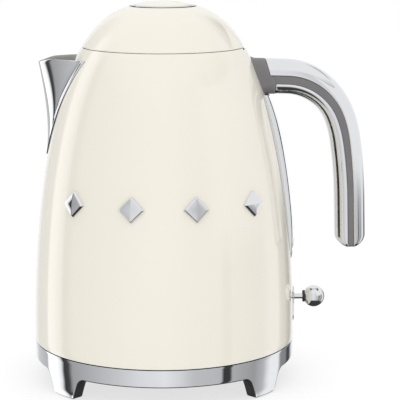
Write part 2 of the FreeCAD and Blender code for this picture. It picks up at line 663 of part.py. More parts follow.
def make_lid():
    shell = domed_skin(LID_BOTTOM_Z, BUTTON_RING_Z - 0.5, 0.0, WALL)
    hinge_room = box(44, 60, -HINGE_HALF - 0.5, HINGE_HALF + 0.5, 200, 222)
    nodes["lid_shell"] = shell.cut(hinge_room)
    liner = ring((0, 208), (LINER_R, 208), (LINER_R, 217.2), (50.7, 219.0), (50.2, 220.4),
                 (45.0, 220.4), (45.0, 210.0), (0, 210.0))
    liner = liner.cut(hinge_room)
    for y in (-7.2, 5.2):
        liner = liner.fuse(box(-34, -14, y, y + 2.0, 210.0, LATCH_Z + 2.5))
    liner = liner.cut(box(-60, -43, -5.2, 5.2, LATCH_Z - 2.2, LATCH_Z + 2.2))
    nodes["lid_liner"] = liner
    nodes["lid_seal"] = tube(SEAL_R, LINER_R, 210.2, 212.0)

    ring_inner, ring_outer = BUTTON_R + 0.3, 19.9
    nodes["button_ring"] = ring((ring_inner, 240.0), (ring_outer - 0.6, 240.0),
                                (ring_outer - 0.6, 244.4), (ring_outer + 0.1, BUTTON_RING_Z - 0.3),
                                (ring_outer - 0.3, 245.2), (ring_inner, 245.2))
    carrier = ring((ring_inner, 237.4), (33.0, 237.4), (ring_outer + 0.6, 239.9), (ring_inner, 239.9))
    guide = carrier.fuse(tube(6.5, 4.3, 220.0, SPRING_SEAT_Z))
    for angle in (60, 180, 300):
        guide = guide.fuse(turned(box(5.5, 22.0, -1.5, 1.5, 232.0, 237.4), angle))
    nodes["button_guide"] = guide.removeSplitter()

    arm = rod(KNUCKLE_R, V(HINGE_X, -5.1, HINGE_Z), V(HINGE_X, 5.1, HINGE_Z))
    arm = arm.fuse(box(43.0, HINGE_X, -5.1, 5.1, HINGE_Z + 0.6, HINGE_Z + 2.0))
    arm = arm.fuse(box(43.0, 46.6, -14.0, 14.0, 220.4, 221.6))
    arm = arm.cut(rod(KNUCKLE_R + 0.4, V(HINGE_X, -2.6, HINGE_Z), V(HINGE_X, 2.6, HINGE_Z)))
    arm = arm.cut(rod(PIVOT_HOLE_R, V(HINGE_X, -9, HINGE_Z), V(HINGE_X, 9, HINGE_Z)))
    nodes["lid_hinge_arm"] = arm.removeSplitter()
    spring = coil(1.85, 0.3, 0.8, 5, V(0, 0, 0))
    spring.rotate(V(0, 0, 0), X_AXIS, -90)
    spring.translate(V(HINGE_X, -2.0, HINGE_Z))
    nodes["lid_torsion_spring"] = spring
    screws = []
    for angle in (60, 180, 300):
        x, y = 30 * math.cos(math.radians(angle)), 30 * math.sin(math.radians(angle))
        screws.append(Part.makeCylinder(2.6, 1.6, V(x, y, 210.0)).fuse(
            Part.makeCylinder(1.3, 2.0, V(x, y, 208.0))))
        nodes["lid_liner"] = nodes["lid_liner"].cut(Part.makeCylinder(1.3, 3, V(x, y, 207.5)))
    nodes["lid_screws"] = Part.makeCompound(screws)


def make_button():
    rim_z = 241.6
    edge_z = 245.5
    underside_z = edge_z - 1.6
    rise = BUTTON_TOP_Z - edge_z
    crown_r = (BUTTON_R ** 2 + rise ** 2) / (2 * rise)
    crown = Part.makeSphere(crown_r, V(0, 0, BUTTON_TOP_Z - crown_r))
    blank = Part.makeCylinder(BUTTON_R, BUTTON_TOP_Z + 1 - rim_z, V(0, 0, rim_z))
    hollow = Part.makeCylinder(BUTTON_R - 1.4, underside_z - rim_z, V(0, 0, rim_z))
    nodes["button_cap"] = blank.common(crown).cut(hollow)
    stem = Part.makeCylinder(STEM_TIP_R, underside_z - STEM_LOW_Z, V(0, 0, STEM_LOW_Z))
    bevel = BUTTON_STEM_R - STEM_TIP_R
    stem = stem.fuse(Part.makeCone(STEM_TIP_R, BUTTON_STEM_R, bevel, V(0, 0, STEM_LOW_Z)))
    shank_low = STEM_LOW_Z + bevel
    shank = Part.makeCylinder(BUTTON_STEM_R, underside_z - shank_low, V(0, 0, shank_low))
    nodes["button_stem"] = stem.fuse(shank).removeSplitter()
    wire_r = 0.45
    nodes["button_spring"] = coil(5.6, wire_r, 1.9, 3, V(0, 0, SPRING_SEAT_Z + wire_r + 0.15))


def make_latch():
    half_h = 2.0
    tip = -50.9
    low, high = LATCH_Z - half_h, LATCH_Z + half_h
    bolt = box(tip, -10.0, -5.0, 5.0, low, high).fuse(box(-11.0, 9.0, -7.0, 7.0, low, high))
    clearance = 0.3
    cam_x = STEM_TIP_R + clearance - STEM_LOW_Z
    left = -BUTTON_STEM_R - BUTTON_TRAVEL - 0.6
    window = Part.Face(Part.makePolygon([
        V(left, -4.4, low - 1), V(cam_x + low - 1, -4.4, low - 1),
        V(cam_x + high + 1, -4.4, high + 1), V(left, -4.4, high + 1), V(left, -4.4, low - 1)]))
    nose = Part.Face(Part.makePolygon([V(tip - 1, -6, low - 1), V(tip + 2.6, -6, low - 1),
                                       V(tip - 1, -6, high), V(tip - 1, -6, low - 1)]))
    bolt = bolt.cut(window.extrude(V(0, 8.8, 0)))
    nodes["latch_bolt"] = bolt.cut(nose.extrude(V(0, 12, 0))).removeSplitter()


def make_start_lever():
    ball_r = 1.5
    arm = rod(STEM_R, V(LEVER_PIVOT_X, 0, LEVER_Z), V(KNOB_X - 4, 0, LEVER_Z))
    arm = arm.fuse(rod(3.0, V(LEVER_PIVOT_X, -2.8, LEVER_Z), V(LEVER_PIVOT_X, 2.8, LEVER_Z)))
    arm = arm.fuse(rod(1.0, V(LEVER_BALL_X, 0, LEVER_Z), V(LEVER_PIVOT_X - 2, 0, LEVER_Z)))
    arm = arm.fuse(Part.makeSphere(ball_r, V(LEVER_BALL_X, 0, LEVER_Z)))
    arm = arm.cut(rod(PIVOT_HOLE_R, V(LEVER_PIVOT_X, -9, LEVER_Z), V(LEVER_PIVOT_X, 9, LEVER_Z)))
    knob = Part.makeSphere(KNOB_R, V(KNOB_X, 0, LEVER_Z))
    knob = knob.fuse(rod(3.9, V(91.9, 0, LEVER_Z), V(95.2, 0, LEVER_Z)))
    nodes["lever_knob"] = knob.cut(rod(STEM_R, V(80, 0, LEVER_Z), V(KNOB_X - 4, 0, LEVER_Z)))
    nodes["lever_arm"] = arm

    rocker = rod(3.0, V(ROCKER_PIVOT_X, -2.8, LEVER_Z), V(ROCKER_PIVOT_X, 2.8, LEVER_Z))
    rocker = rocker.fuse(box(ROCKER_PIVOT_X, 36.0, -2.8, 2.8, LEVER_Z - 2.0, LEVER_Z + 2.0))
    for low in (LEVER_Z - 3.1, LEVER_Z + 1.9):
        rocker = rocker.fuse(box(34.0, 41.4, -2.8, 2.8, low, low + 1.2))
    rocker = rocker.cut(rod(PIVOT_HOLE_R, V(ROCKER_PIVOT_X, -9, LEVER_Z), V(ROCKER_PIVOT_X, 9, LEVER_Z)))
    nodes["trip_rocker"] = rocker.removeSplitter()


make_power_base()
make_coupler_socket()
make_jug()
make_filter()
make_lid()
make_button()
make_latch()
make_start_lever()

os.makedirs("parts", exist_ok=True)
for name, shape in nodes.items():
    moved = shape.copy()
    moved.translate(V(AXIS_X, 0, 0))
    moved.exportStep(f"parts/{name}.step")
    print(f"{name}: {len(moved.Solids)} solids, {moved.Volume / 1000:.2f} cm3, valid {moved.isValid()}")
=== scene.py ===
"""Visual model of the cordless electric kettle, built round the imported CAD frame.

The shapes are worked out in millimetres about the kettle's own axis, with the spout at -X and
the handle at +X. place() turns them into the frame's metres.
"""

import math

import bmesh
import bpy
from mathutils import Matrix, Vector


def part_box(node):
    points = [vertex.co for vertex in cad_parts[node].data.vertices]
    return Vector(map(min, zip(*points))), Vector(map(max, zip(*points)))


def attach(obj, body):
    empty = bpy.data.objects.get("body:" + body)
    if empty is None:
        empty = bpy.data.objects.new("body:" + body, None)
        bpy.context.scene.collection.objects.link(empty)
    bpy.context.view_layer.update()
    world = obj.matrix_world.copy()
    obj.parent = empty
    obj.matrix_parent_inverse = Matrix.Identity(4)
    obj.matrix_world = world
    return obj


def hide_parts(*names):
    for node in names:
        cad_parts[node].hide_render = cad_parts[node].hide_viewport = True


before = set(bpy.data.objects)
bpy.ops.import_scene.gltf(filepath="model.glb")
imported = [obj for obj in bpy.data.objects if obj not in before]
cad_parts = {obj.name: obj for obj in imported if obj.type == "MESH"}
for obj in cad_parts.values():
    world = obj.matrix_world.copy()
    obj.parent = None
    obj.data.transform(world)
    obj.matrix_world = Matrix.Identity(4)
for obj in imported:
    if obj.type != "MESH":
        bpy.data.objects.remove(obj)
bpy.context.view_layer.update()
scene = bpy.context.scene

MM = 0.001
AXIS_X = -23.7

# The jug's outline
BODY_R = 85.5
DOME_FOOT_Z = 30.0
DOME_TOP_Z = 246.5
DOME_POWER = 2.92
WALL = 1.0
SHELL_LOW_Z = 26.7
SHELL_TOP_Z = 218.4
SHELL_ROWS = 72
LID_LOW_Z = 218.7
LID_TOP_Z = 244.4
HINGE_NOTCH = (40, 60, -14.8, 14.8, 216.6, 222)
HINGE_ARM_SLOT = (44, 60, -8.2, 8.2, 200, 222)
LEVER_SLOT = (80, 90, -2.6, 2.6, 41, 55)
HANDLE_SCREW_Z = (191.5, 200.0)
HANDLE_SCREW_R = 2.05

# Lid button
CAP_R = 18.4
CAP_RISE = 2.5
CAP_TOP_Z = 248.0
CAP_EDGE_Z = 245.5

# Spout
SPOUT_LOW_Z = 149.0
SPOUT_RIM_Z = 209.0
SPOUT_HALF_W = 23.6
SPOUT_BORDER_HALF_W = 27.0
SPOUT_RIM_RISE = 2.4     # the pouring edge climbs this far from its tip to the jug
SPOUT_WALL = 1.2
SPOUT_BORDER_PROUD = 0.8
SPOUT_TOE = 0.6          # the border's tip reaches this far below the beak

# Handle
HALF_W = 12.0
CORE_HALF = 2.65
SHELL_FLAT = 2.7
GRIP_INWARD = 10.1
GRIP_OUTWARD_TOP = 12.9
GRIP_OUTWARD_LEG = 10.3
HANDLE_START = (58.0, 197.9, -1.5)
HANDLE_RUNS = ((22.0, 0.0), (45.1, 68.0), (15.7, 12.0), (38.4, 7.0), (32.0, 0.0))
GRIP_LENGTH = sum(run[0] for run in HANDLE_RUNS)
OUTER_SHELL_S = 9.5
INNER_SHELL_S = 14.5
END_R = 7.5

GAUGE_CREST = ((79.8, 83.7), (97.0, 85.1), (120.0, 83.6), (146.5, 80.0), (173.0, 74.1), (187.3, 68.6))
GAUGE_HALF_W = 8.5
GAUGE_SLOT = (50, 100, -5, 5, 85.8, 181.3)

# Base: an upright band, and feet given by a centre angle and half widths in degrees
BAND_LOW, BAND_TOP, FOOT_LOW = 14.8, 26.2, 0.6
BAND_WALL = 3.0
FOOT_ANGLE, FOOT_TOP_HALF, FOOT_GROUND_HALF = 40.3, 10.2, 6.4
FOOT_INNER_R = 76.8
FOOT_INNER_TOP_Z = 12.0
FLARE = ((0.6, 83.2), (1.6, 84.4), (3.4, 84.9), (9.0, 85.2), (14.8, 85.45), (20.0, 85.5), (26.2, 85.5))
INLET_R, INLET_Z = 5.25, 20.5

# Start lever
LEVER_Z = 52.0
KNOB_X = 99.4
KNOB_R = 7.2
PLATE_Z = 47.4

# Studs: bearings round the jug, and each stud's rings as (half diagonal, height)
STUD_ANGLES = (-134.3, -104.5, -75.5, -45.7)
STUD_Z = 125.5
STUD_RINGS = ((8.5, -0.7), (8.5, 0.35), (8.35, 0.7), (7.5, 1.75), (7.2, 2.0), (6.8, 2.1), (1.2, 2.6))


# ---------------------------------------------------------------- mesh helpers

def place(p):
    return ((p[0] + AXIS_X) * MM, p[1] * MM, p[2] * MM)


def outline_r(z):
    """Radius of the jug's outside at height z."""
    t = min(max((z - DOME_FOOT_Z) / (DOME_TOP_Z - DOME_FOOT_Z), 0.0), 0.99999)
    return BODY_R * (1.0 - t * t) ** (1.0 / DOME_POWER)


def outline_slope(z):
    return (outline_r(z + 0.05) - outline_r(z - 0.05)) / 0.1


def skin_r(z, proud):
    """Horizontal radius at height z of the surface that stands proud of the jug by that much."""
    return outline_r(z) + proud * math.hypot(1.0, outline_slope(z))


def blend(a, b, t):
    return tuple(p + (q - p) * t for p, q in zip(a, b))


def smoothstep(low, high, value):
    t = min(max((value - low) / (high - low), 0.0), 1.0)
    return t * t * (3 - 2 * t)


def softened(points, radius, steps=4, closed=True):
    """A polygon with its corners rounded off: radius is the length taken from each side."""
    out, n = [], len(points)
    for i, corner in enumerate(points):
        r = radius[i] if isinstance(radius, (list, tuple)) else radius
        if r <= 0 or (not closed and i in (0, n - 1)):
            out.append(corner)
            continue
        before, after = points[i - 1], points[(i + 1) % n]
        start = blend(corner, before, min(r / (math.dist(corner, before) or 1), 0.49))
        end = blend(corner, after, min(r / (math.dist(corner, after) or 1), 0.49))
        for k in range(steps + 1):
            t = k / steps
            out.append(blend(blend(start, corner, t), blend(corner, end, t), t))
    return out


def spline_at(table, x):
    """Smooth value at x of a table of (x, y) rows, by a Catmull-Rom curve."""
    i = 0
    while i < len(table) - 2 and x > table[i + 1][0]:
        i += 1
    def slope(k):
        a, b = table[max(k - 1, 0)], table[min(k + 1, len(table) - 1)]
        return (b[1] - a[1]) / (b[0] - a[0])
    (x0, y0), (x1, y1) = table[i], table[i + 1]
    h = x1 - x0
    t = (x - x0) / h
    return ((2 * t ** 3 - 3 * t * t + 1) * y0 + (t ** 3 - 2 * t * t + t) * h * slope(i)
            + (3 * t * t - 2 * t ** 3) * y1 + (t ** 3 - t * t) * h * slope(i + 1))


class Shape:
    """Vertices and faces of one piece, collected in millimetres."""

    def __init__(self):
        self.verts, self.faces, self.tints = [], [], []

    def add(self, points):
        first = len(self.verts)
        self.verts.extend(points)
        return list(range(first, len(self.verts)))

    def face(self, corners, tint=0):
        self.faces.append(tuple(corners))
        self.tints.append(tint)

    def grid(self, rows, wrap_row=False, wrap_col=False, tint=None):
        """Quads between rows of points. tint(row, column) picks the material of a quad."""
        ids = [self.add(row) for row in rows]
        count = len(ids)
        for i in range(count if wrap_row else count - 1):
            a, b = ids[i], ids[(i + 1) % count]
            for j in range(len(a) if wrap_col else len(a) - 1):
                k = (j + 1) % len(a)
                self.face((a[j], a[k], b[k], b[j]), tint(i, j) if tint else 0)
        return ids

    def tube(self, loops, tint=None):
        """A closed solid from closed loops, with flat ends."""
        ids = self.grid(loops, wrap_col=True, tint=tint)
        self.face(reversed(ids[0]))
        self.face(ids[-1])
        return ids

    def turned(self, profile, count=160, centre=(0, 0), axis="z", tint=None):
        """A closed profile of (radius, height) turned right round."""
        rows = []
        for i in range(count):
            a = 2 * math.pi * i / count
            c, s = math.cos(a), math.sin(a)
            if axis == "z":
                rows.append([(centre[0] + r * c, centre[1] + r * s, h) for r, h in profile])
            else:
                rows.append([(h, centre[0] + r * c, centre[1] + r * s) for r, h in profile])
        return self.grid(rows, wrap_row=True, wrap_col=True, tint=tint)


def finish_mesh(mesh, sharp):
    """Merges touching vertices, turns the faces outward and marks edges sharper than an angle."""
    bm = bmesh.new()
    bm.from_mesh(mesh)
    bmesh.ops.remove_doubles(bm, verts=bm.verts, dist=2e-6)
    bmesh.ops.dissolve_degenerate(bm, edges=bm.edges, dist=1e-6)
    bmesh.ops.recalc_face_normals(bm, faces=bm.faces)
    for f in bm.faces:
        f.smooth = True
    for e in bm.edges:
        e.smooth = len(e.link_faces) == 2 and e.calc_face_angle(0) < math.radians(sharp)
    bm.to_mesh(mesh)
    bm.free()


def make(shape, name):
    mesh = bpy.data.meshes.new(name)
    mesh.from_pydata([place(v) for v in shape.verts], [], shape.faces)
    mesh.polygons.foreach_set("material_index", shape.tints)
    mesh.update()
    obj = bpy.data.objects.new(name, mesh)
    scene.collection.objects.link(obj)
    return obj


def cut(obj, cutters):
    """Takes the cutters' volumes out of a piece and removes them from the scene."""
    for cutter in cutters:
        finish_mesh(cutter.data, 30)
        mod = obj.modifiers.new("cut", "BOOLEAN")
        mod.operation = "DIFFERENCE"
        mod.solver = "EXACT"
        mod.object = cutter
    bpy.context.view_layer.update()
    evaluated = obj.evaluated_get(bpy.context.evaluated_depsgraph_get())
    mesh = bpy.data.meshes.new_from_object(evaluated)
    obj.modifiers.clear()
    obj.data = mesh
    for cutter in cutters:
        bpy.data.objects.remove(cutter)


def piece(shape, name, body, materials, stands_for=(), sharp=32, cutters=()):
    """Makes one visible piece that rides on a CAD body and stands for the CAD nodes named."""
    obj = make(shape, name)
    finish_mesh(obj.data, sharp)
    if cutters:
        cut(obj, cutters)
        finish_mesh(obj.data, sharp)
    for material in materials if isinstance(materials, (list, tuple)) else [materials]:
        obj.data.materials.append(material)
    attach(obj, body)
    if stands_for:
        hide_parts(*stands_for)


def box_cutter(x0, x1, y0, y1, z0, z1):
    shape = Shape()
    shape.tube([[(x, y0, z0), (x, y1, z0), (x, y1, z1), (x, y0, z1)] for x in (x0, x1)])
    return make(shape, "cutter")


def rod_cutter(radius, x0, x1, z):
    shape = Shape()
    loop = [(radius * math.cos(math.pi * i / 12), z + radius * math.sin(math.pi * i / 12))
            for i in range(24)]
    shape.tube([[(x, y, h) for y, h in loop] for x in (x0, x1)])
    return make(shape, "cutter")


# ---------------------------------------------------------------- materials

class Nodes:
    """A short way to write a node tree."""

    def __init__(self, tree):
        self.tree = tree
        tree.nodes.clear()

    def add(self, kind, settings=(), **inputs):
        node = self.tree.nodes.new(kind)
        for key, value in dict(settings).items():
            setattr(node, key, value)
        for key, value in inputs.items():
            socket = node.inputs[int(key[1:])] if key[0] == "i" and key[1:].isdigit() \
                else node.inputs[key.replace("_", " ")]
            if isinstance(value, bpy.types.NodeSocket):
                self.tree.links.new(value, socket)
            else:
                socket.default_value = value
        return node

    def math(self, operation, a, b=0.0):
        return self.add("ShaderNodeMath", {"operation": operation}, i0=a, i1=b).outputs[0]

    def remap(self, value, low, high, to_low=0.0, to_high=1.0, smooth=False):
        node = self.add("ShaderNodeMapRange", {"interpolation_type": "SMOOTHSTEP" if smooth else "LINEAR"},
                        Value=value, From_Min=low, From_Max=high, To_Min=to_low, To_Max=to_high)
        return node.outputs[0]

    def spread(self, noise, low, high):
        """Stretches the middle of a noise value over low-high."""
        return self.remap(noise, 0.3, 0.7, low, high)

    def mix(self, factor, first, second):
        """Mixes two colours, each a socket or a constant."""
        node = self.add("ShaderNodeMix", {"data_type": "RGBA"}, Factor=factor, i6=first, i7=second)
        return node.outputs[2]


def surface(name, colour, roughness, bump=0.0, bump_scale=900.0, shade=0.02, rough_spread=0.25,
            patch_scale=35.0, metallic=0.0, coat=0.0, stretch=(1, 1, 1), ior=1.5, transmission=0.0,
            coat_rough=0.04, edge_glint=0.0):
    """A procedural finish: patches that vary the colour and gloss, and a fine-scale bump.

    Scales are per metre. The last argument paints a highlight along convex edges, lightening them in spots,
    and also roughens them.
    """
    material = bpy.data.materials.new(name)
    material.use_nodes = True
    n = Nodes(material.node_tree)
    where = n.add("ShaderNodeTexCoord").outputs["Object"]
    mapped = n.add("ShaderNodeMapping", Vector=where, Scale=stretch).outputs[0]
    patch = n.add("ShaderNodeTexNoise", Vector=where, Scale=patch_scale, Detail=3.0).outputs[0]
    fine = n.add("ShaderNodeTexNoise", Vector=mapped, Scale=bump_scale, Detail=2.0).outputs[0]
    dark = tuple(c * (1 - shade) for c in colour) + (1.0,)
    light = tuple(min(c * (1 + shade), 1.0) for c in colour) + (1.0,)
    base = n.mix(n.spread(patch, 0.0, 1.0), dark, light)
    rough = n.math("ADD", n.spread(patch, roughness * (1 - rough_spread), roughness * (1 + rough_spread)),
                   n.math("MULTIPLY", n.math("SUBTRACT", fine, 0.5), roughness * rough_spread))
    # painted highlight: convex edges, found by pointiness, are lightened in spots toward white and made a
    # little rougher
    if edge_glint:
        edge = n.remap(n.add("ShaderNodeNewGeometry").outputs["Pointiness"], 0.53, 0.60)
        glint_mask = n.math("MULTIPLY", n.math("MULTIPLY", edge, n.spread(fine, 0.3, 1.0)), edge_glint)
        base = n.mix(glint_mask, base, tuple(min(c * 1.25 + 0.05, 1.0) for c in colour) + (1.0,))
        rough = n.math("ADD", rough, n.math("MULTIPLY", glint_mask, 0.1))
    shader = n.add("ShaderNodeBsdfPrincipled", Base_Color=base, Roughness=rough, Metallic=metallic, IOR=ior,
                   Coat_Weight=coat, Coat_Roughness=coat_rough, Transmission_Weight=transmission)
    if bump:
        height = n.add("ShaderNodeBump", Height=fine, Strength=bump, Distance=0.0002).outputs[0]
        n.tree.links.new(height, shader.inputs["Normal"])
    n.add("ShaderNodeOutputMaterial", Surface=shader.outputs[0])
    return material


CREAM = (0.885, 0.845, 0.745)
ENAMEL = surface("cream_enamel", CREAM, 0.10, bump=0.035, bump_scale=420, shade=0.006,
                 patch_scale=18, coat=0.6, coat_rough=0.03, rough_spread=0.35, edge_glint=0.15)
CREAM_PLASTIC = surface("cream_plastic", CREAM, 0.2, bump=0.05, bump_scale=700, shade=0.01,
                        patch_scale=30, coat=0.2, edge_glint=0.15)
CHROME = surface("polished_chrome", (0.80, 0.81, 0.83), 0.05, bump=0.02, bump_scale=160, shade=0.015,
                 patch_scale=60, metallic=1.0, rough_spread=0.5, edge_glint=0.2)
SATIN_CHROME = surface("satin_chrome", (0.40, 0.41, 0.43), 0.22, bump=0.05, bump_scale=500,
                       shade=0.03, metallic=1.0, stretch=(1, 1, 6))
GREY = surface("grey_plastic", (0.175, 0.168, 0.172), 0.46, bump=0.35, bump_scale=2600, shade=0.05,
               patch_scale=80, edge_glint=0.3)
BLACK = surface("black_plastic", (0.018, 0.018, 0.02), 0.42, bump=0.3, bump_scale=2400, shade=0.2,
                patch_scale=60, edge_glint=0.25)
RUBBER = surface("black_rubber", (0.02, 0.02, 0.021), 0.75, bump=0.4, bump_scale=3000, shade=0.25)
SILICONE = surface("silicone", (0.72, 0.72, 0.70), 0.42, bump=0.15, bump_scale=1500, shade=0.04)
STEEL = surface("stainless_steel", (0.60, 0.59, 0.58), 0.24, bump=0.12, bump_scale=300, shade=0.05,
                metallic=1.0, stretch=(1, 1, 14), rough_spread=0.35)
ALUMINIUM = surface("aluminium", (0.70, 0.71, 0.72), 0.38, bump=0.25, bump_scale=1200, shade=0.06,
                    metallic=1.0)
BRASS = surface("brass", (0.72, 0.53, 0.24), 0.28, bump=0.1, bump_scale=1500, shade=0.08, metallic=1.0)
SPRING = surface("spring_steel", (0.50, 0.50, 0.51), 0.3, bump=0.1, bump_scale=2500, shade=0.06,
                 metallic=1.0)
CLEAR = surface("clear_plastic", (0.95, 0.96, 0.97), 0.04, bump=0.02, bump_scale=500, shade=0.01,
                ior=1.49, transmission=1.0)
FINISHES = {"cream_enamel": ENAMEL, "cream_plastic": CREAM_PLASTIC, "polished_chrome": CHROME,
            "grey_plastic": GREY, "black_plastic": BLACK, "black_rubber": RUBBER,
            "silicone": SILICONE, "stainless_steel": STEEL, "aluminium": ALUMINIUM,
            "brass": BRASS, "spring_steel": SPRING, "clear_plastic": CLEAR}

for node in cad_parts.values():
    slot_name = node.data.materials[0].name.split(".")[0] if node.data.materials else "black_plastic"
    node.data.materials.clear()
    node.data.materials.append(FINISHES.get(slot_name, BLACK))


# ---------------------------------------------------------------- jug and lid shells

def domed_profile(low, high, wall, count, lip=0.3):
    """Closed profile of a sheet-metal shell that follows the jug, with rounded edges."""
    heights = [low + (high - low) * math.sin(math.pi / 2 * i / count) for i in range(count + 1)]
    outer = [(outline_r(z), z) for z in heights]
    inner = []
    for z in heights:
        slope = outline_slope(z)
        length = math.hypot(1.0, slope)
        inner.append((outline_r(z) - wall / length, z + wall * slope / length))
    inner[0] = (inner[0][0], low)
    outer[0] = (outer[0][0] - lip * 0.4, low)
    outer.insert(1, (outline_r(low + lip), low + lip * 1.4))
    top_r, top_z = outer[-1]
    back = (inner[-1][0] - top_r, inner[-1][1] - top_z)
    outer[-1] = (top_r + back[0] * 0.12, top_z + back[1] * 0.12)
    before = outer[-2]
    outer.insert(-1, blend((top_r, top_z), before, min(0.5 / math.dist((top_r, top_z), before), 0.4)))
    return outer + inner[::-1]


def spout_share(z):
    """How far up the spout a height is, from just above 0 at the border's tip to 1 at the rim."""
    return max(z - SPOUT_LOW_Z + SPOUT_TOE, 0.01) / (SPOUT_RIM_Z - SPOUT_LOW_Z + SPOUT_TOE)


def spout_half_width(z):
    return SPOUT_HALF_W * spout_share(z) ** 0.85


def border_half_width(z):
    return SPOUT_BORDER_HALF_W * spout_share(z) ** 0.82


def spout_nose_x(z):
    share = (z - SPOUT_LOW_Z) / (SPOUT_RIM_Z - SPOUT_LOW_Z)
    return -76.2 + 1.6 * math.sin(math.pi * share) * (1 - share) - 4.6 * max(share, 0) ** 2.6


def spout_half_section(z, inset, steps=22):
    """From the jug's wall along one flank to the middle of the nose, as (x, y)."""
    half = spout_half_width(z) - inset
    tip = spout_nose_x(z) + inset
    root = -math.sqrt(outline_r(z) ** 2 - spout_half_width(z) ** 2)
    points = []
    for i in range(steps + 1):
        t = 1 - i / steps
        first, second, third = 3 * (1 - t) ** 2 * t, 3 * (1 - t) * t * t, t ** 3
        along = 0.02 * first + 0.45 * second + third
        points.append((tip + (root - tip) * along, half * (0.2 * first + 0.78 * second + third)))
    return points


def mirrored(half):
    """The whole section from half of one: +Y side first, the middle point once."""
    return half + [(x, -y) for x, y in reversed(half[:-1])]


def pour_cutter():
    shape = Shape()
    loops = []
    for i in range(9):
        z = SPOUT_LOW_Z + 22.0 + (SPOUT_RIM_Z - 4.0 - SPOUT_LOW_Z - 22.0) * i / 8
        section = mirrored(spout_half_section(z, 4.0))
        back = [(-50.0, section[-1][1]), (-50.0, section[0][1])]
        loops.append([(x, y, z) for x, y in section + back])
    shape.tube(loops)
    return make(shape, "cutter")


shell = Shape()
shell_profile = domed_profile(SHELL_LOW_Z, SHELL_TOP_Z, WALL, SHELL_ROWS)
first_inside = len(shell_profile) - (SHELL_ROWS + 1)
shell.turned(shell_profile, 240, tint=lambda i, j: int(j >= first_inside))
piece(shell, "jug_body", "jug", [ENAMEL, STEEL], ["body_shell"], sharp=30, cutters=[
    box_cutter(*HINGE_NOTCH), box_cutter(*GAUGE_SLOT), box_cutter(*LEVER_SLOT), pour_cutter(),
    *(rod_cutter(HANDLE_SCREW_R, 40, 80, z) for z in HANDLE_SCREW_Z)])

lid = Shape()
lid.turned(domed_profile(LID_LOW_Z, LID_TOP_Z, WALL, 36), 240)
piece(lid, "lid_dome", "lid", ENAMEL, ["lid_shell"], sharp=30,
      cutters=[box_cutter(*HINGE_ARM_SLOT)])

# Button: a plated ring round a shallow domed cap
ring = Shape()
ring.turned(softened([(18.7, 240.0), (19.3, 240.0), (19.3, 244.3), (20.0, 244.5), (19.95, 244.9),
                      (19.55, 245.2), (18.7, 245.2)], 0.22, 3), 160)
piece(ring, "button_bezel", "lid", CHROME, ["button_ring"])
cap = Shape()
crown_r = (CAP_R ** 2 + CAP_RISE ** 2) / (2 * CAP_RISE)
crown = [(r, CAP_TOP_Z - crown_r + math.sqrt(crown_r ** 2 - r ** 2)) for r in
         (CAP_R * i / 24 for i in range(25))]
crown[-1:] = [(CAP_R - 0.15, CAP_EDGE_Z - 0.12), (CAP_R, CAP_EDGE_Z - 0.5)]
cap.turned(crown + [(CAP_R, 241.7), (18.3, 241.6), (17.0, 241.6), (17.0, 243.9), (0.0, 243.9)], 160)
piece(cap, "button_dome", "button", CREAM_PLASTIC, ["button_cap"], sharp=50)


# ---------------------------------------------------------------- spout

def border_point(half, z, proud):
    r = skin_r(z, proud)
    return (-math.sqrt(max(r * r - half * half, 0)), half, z)


def rim_lift(x, t):
    """The pouring edge is highest at the jug and dips towards the tip."""
    return SPOUT_RIM_RISE * smoothstep(-82.0, -70.0, x) * smoothstep(0.75, 1.0, t)


def spout_rows():
    """Rows of (outer, inner) points up the beak, from the jug's wall to the nose's middle."""
    rows = []
    count = 48
    for i in range(count + 1):
        t = (i / count) ** 1.6
        z = SPOUT_LOW_Z + 0.02 + (SPOUT_RIM_Z - SPOUT_LOW_Z - 0.02) * t
        edge_z = SPOUT_LOW_Z - SPOUT_TOE + (SPOUT_RIM_Z + SPOUT_RIM_RISE - SPOUT_LOW_Z + SPOUT_TOE) * t
        edge_half = border_half_width(edge_z)
        section = spout_half_section(z, 0.0)
        if z > SPOUT_LOW_Z + 5.0:
            inside = spout_half_section(z, SPOUT_WALL)
        else:
            inside = [(-math.sqrt(outline_r(z) ** 2 - y * y), y) for x, y in section]
        root = section[0]
        foot = root[1] + min(1.2, (edge_half - root[1]) * 0.4)
        top_z = z + rim_lift(-60.0, t)
        outer, inner = [], []
        for u, proud in ((0.0, -0.1), (0.0, 0.5), (0.06, 0.74), (0.16, SPOUT_BORDER_PROUD),
                         (0.5, SPOUT_BORDER_PROUD), (1.0, SPOUT_BORDER_PROUD)):
            half, height = edge_half + (foot - edge_half) * u, edge_z + (top_z - edge_z) * u
            outer.append(border_point(half, height, proud))
            inner.append(border_point(half, height, -0.1))
        # a fillet from the border into the flank
        start = outer[-1]
        corner = border_point(root[1], top_z, SPOUT_BORDER_PROUD)
        lift = (section[2][0], section[2][1], top_z)
        for k in range(1, 5):
            v = k / 4
            outer.append(blend(blend(start, corner, v), blend(corner, lift, v), v))
            inner.append(border_point(foot + (inside[1][1] - foot) * v, top_z, -0.1))
        outer += [(x, y, z + rim_lift(x, t)) for x, y in section[3:]]
        inner += [(x, y, z + rim_lift(x, t)) for x, y in inside[3:]]
        rows.append((outer, inner))
    # the rim is rolled over, from the flank's root on
    outer, inner = rows[-1]
    rolled = 9
    lower = [[(x, y, z - 0.35) if i >= rolled else (x, y, z) for i, (x, y, z) in enumerate(side)]
             for side in (outer, inner)]
    upper = [[blend(p, q, 0.22) if i >= rolled else p for i, (p, q) in enumerate(zip(one, other))]
             for one, other in ((outer, inner), (inner, outer))]
    return rows[:-1] + [tuple(lower), tuple(upper)]


